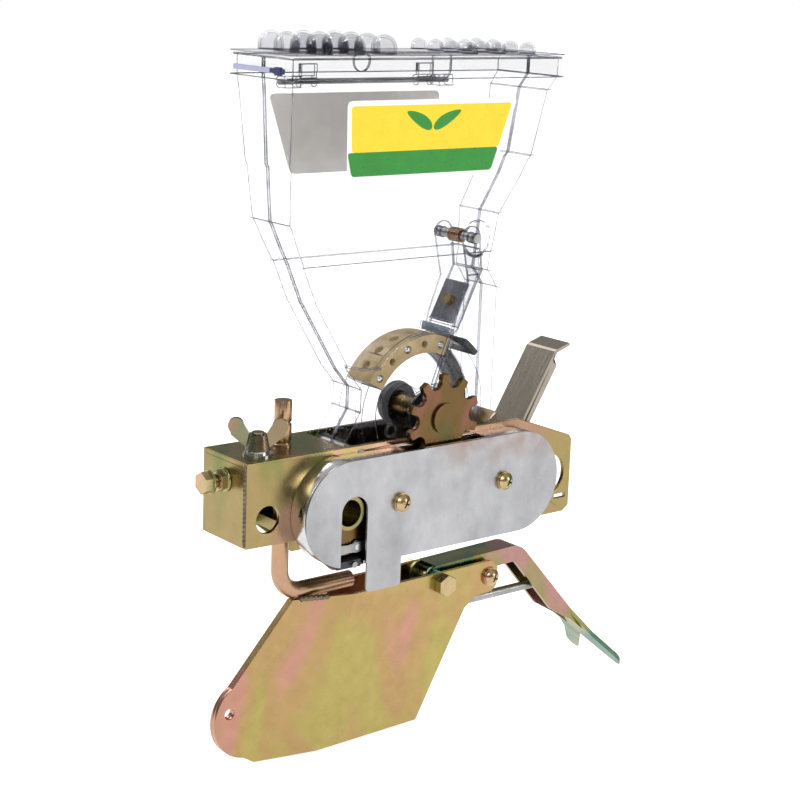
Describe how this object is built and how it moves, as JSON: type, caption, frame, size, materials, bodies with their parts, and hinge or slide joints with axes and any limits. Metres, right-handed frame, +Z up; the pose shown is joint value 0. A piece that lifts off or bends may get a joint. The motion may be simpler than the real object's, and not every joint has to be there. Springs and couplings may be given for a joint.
{
  "type": "hand corn planter seed unit",
  "caption": "Single-row seeder unit: clear hopper with lid, cell roller turned by a short chain drive, folded plough shoe on a depth stem and a swinging press arm.",
  "frame": {"origin": "centre of the front cross hole, halfway between the two frame side plates", "axes": "+X along the frame away from the stem, +Y across the frame away from the chain case, +Z up"},
  "size_m": [0.2854, 0.0698, 0.3734],
  "materials": {
    "zinc_gold": "yellow zinc passivated sheet, semi-gloss with faint pink and green drift",
    "zinc_copper": "yellow zinc with a copper tone",
    "weld": "bare weld bead",
    "nickel": "bright nickel sheet",
    "galvanised": "satin galvanised sheet, mottled",
    "steel": "plain steel",
    "stainless": "satin stainless sheet",
    "green_zinc": "greenish yellow zinc sheet",
    "wing_zinc": "yellow zinc casting",
    "brass": "brass",
    "bronze": "bronze spring wire",
    "clear": "clear moulded polycarbonate",
    "label": "printed label, yellow over green, without text",
    "black_plastic": "black nylon",
    "rubber": "black rubber",
    "ivory": "tan ivory moulded plastic",
    "navy": "dark blue tinted plastic",
    "bristle": "blue-grey brush bristles"
  },
  "bodies": {
    "frame": {"frame_front_plate": "zinc_gold", "frame_back_plate": "zinc_gold", "frame_top_plate": "zinc_gold", "frame_end_plate": "zinc_gold", "frame_welds": "weld", "frame_tie_bars": "zinc_gold", "stem_guide": "zinc_gold", "lock_nut": "zinc_gold", "weld_nut": "zinc_gold", "washers": "nickel", "chain_case_wall": "nickel", "chain_case_cover": "galvanised", "cover_screws": "zinc_gold", "cover_spacer": "steel", "chain_guide": "black_plastic", "guide_pin": "steel", "drive_chain": "steel", "idler_axle": "steel", "latch_pin": "steel", "latch_spring": "steel"},
    "drive": {"drive_hub": "zinc_gold", "drive_sprocket": "zinc_copper"},
    "idler": {"idler_sprocket": "zinc_gold"},
    "hopper": {"hopper_front": "clear", "hopper_back": "clear", "front_label": "label", "back_label": "label", "hopper_pivot_pin": "steel", "front_bush": "black_plastic", "rear_bush": "black_plastic", "gate_pin": "steel", "gate_spring": "bronze", "wiper_lip": "rubber", "latch_lug": "clear", "lid_hinge_pin": "steel"},
    "lid": {"lid": "clear", "lid_domes": "clear", "lid_end_block": "navy"},
    "gate": {"brush_gate": "clear", "gate_bracket": "nickel", "gate_screw": "brass", "gate_bristles": "bristle"},
    "roller": {"roller_shaft": "zinc_copper", "roller_sprocket": "zinc_copper", "roller_wheel": "clear", "seed_segment": "ivory", "blank_segment": "black_plastic", "ejector_pins": "nickel"},
    "latch": {"latch_lever": "stainless"},
    "shoe": {"stem_bar": "zinc_copper", "shoe_front_side": "zinc_gold", "shoe_back_side": "zinc_gold", "shoe_welds": "weld", "stop_rod": "steel", "pivot_bolt": "zinc_gold", "pivot_sleeve": "nickel", "stop_screw": "zinc_gold"},
    "arm": {"press_arm": "green_zinc"},
    "set_screw": {"set_bolt": "zinc_gold"},
    "wing": {"wing_screw": "wing_zinc"}
  },
  "joints": [
    {"name": "roller_spin", "type": "hinge", "parent": "hopper", "child": "roller", "pos_m": [0.1054, 0, 0.04], "axis": [0, 1, 0], "continuous": true, "deforming": ["drive_chain"]},
    {"name": "drive_spin", "type": "hinge", "parent": "frame", "child": "drive", "pos_m": [0.0424, 0, -0.0006], "axis": [0, 1, 0], "continuous": true, "deforming": ["drive_chain"]},
    {"name": "idler_spin", "type": "hinge", "parent": "frame", "child": "idler", "pos_m": [0.14397, 0, 0.002], "axis": [0, 1, 0], "continuous": true, "deforming": ["drive_chain"]},
    {"name": "hopper_tilt", "type": "hinge", "parent": "frame", "child": "hopper", "pos_m": [0.057, 0, 0.0255], "axis": [0, -1, 0], "range_deg": [0, 28]},
    {"name": "lid_swing", "type": "hinge", "parent": "hopper", "child": "lid", "pos_m": [0.09, 0.029, 0.21], "axis": [-1, 0, 0], "range_deg": [0, 110]},
    {"name": "gate_swing", "type": "hinge", "parent": "hopper", "child": "gate", "pos_m": [0.132, 0, 0.131], "axis": [0, -1, 0], "range_deg": [0, 5], "stiffness_Nm_per_rad": 0.15, "springref_deg": -17.19},
    {"name": "latch_swing", "type": "hinge", "parent": "frame", "child": "latch", "pos_m": [0.172, 0, 0.017], "axis": [0, 1, 0], "range_deg": [0, 20], "stiffness_Nm_per_rad": 0.2, "springref_deg": -17.19},
    {"name": "depth_slide", "type": "slide", "parent": "frame", "child": "shoe", "axis": [0, 0, 1], "range_m": [-0.025, 0.005]},
    {"name": "arm_swing", "type": "hinge", "parent": "shoe", "child": "arm", "pos_m": [0.1218, 0, -0.0584], "axis": [0, -1, 0], "range_deg": [0, 20]},
    {"name": "set_screw_turn", "type": "hinge", "parent": "frame", "child": "set_screw", "pos_m": [0, 0, 0.018], "axis": [1, 0, 0], "continuous": true},
    {"name": "wing_turn", "type": "hinge", "parent": "frame", "child": "wing", "pos_m": [0.002, -0.0066, 0.035], "axis": [0, 0, 1], "continuous": true}
  ],
  "couplings": [
    {"joint": "drive_spin", "follows": "roller_spin", "ratio": -1},
    {"joint": "idler_spin", "follows": "roller_spin", "ratio": -1}
  ]
}
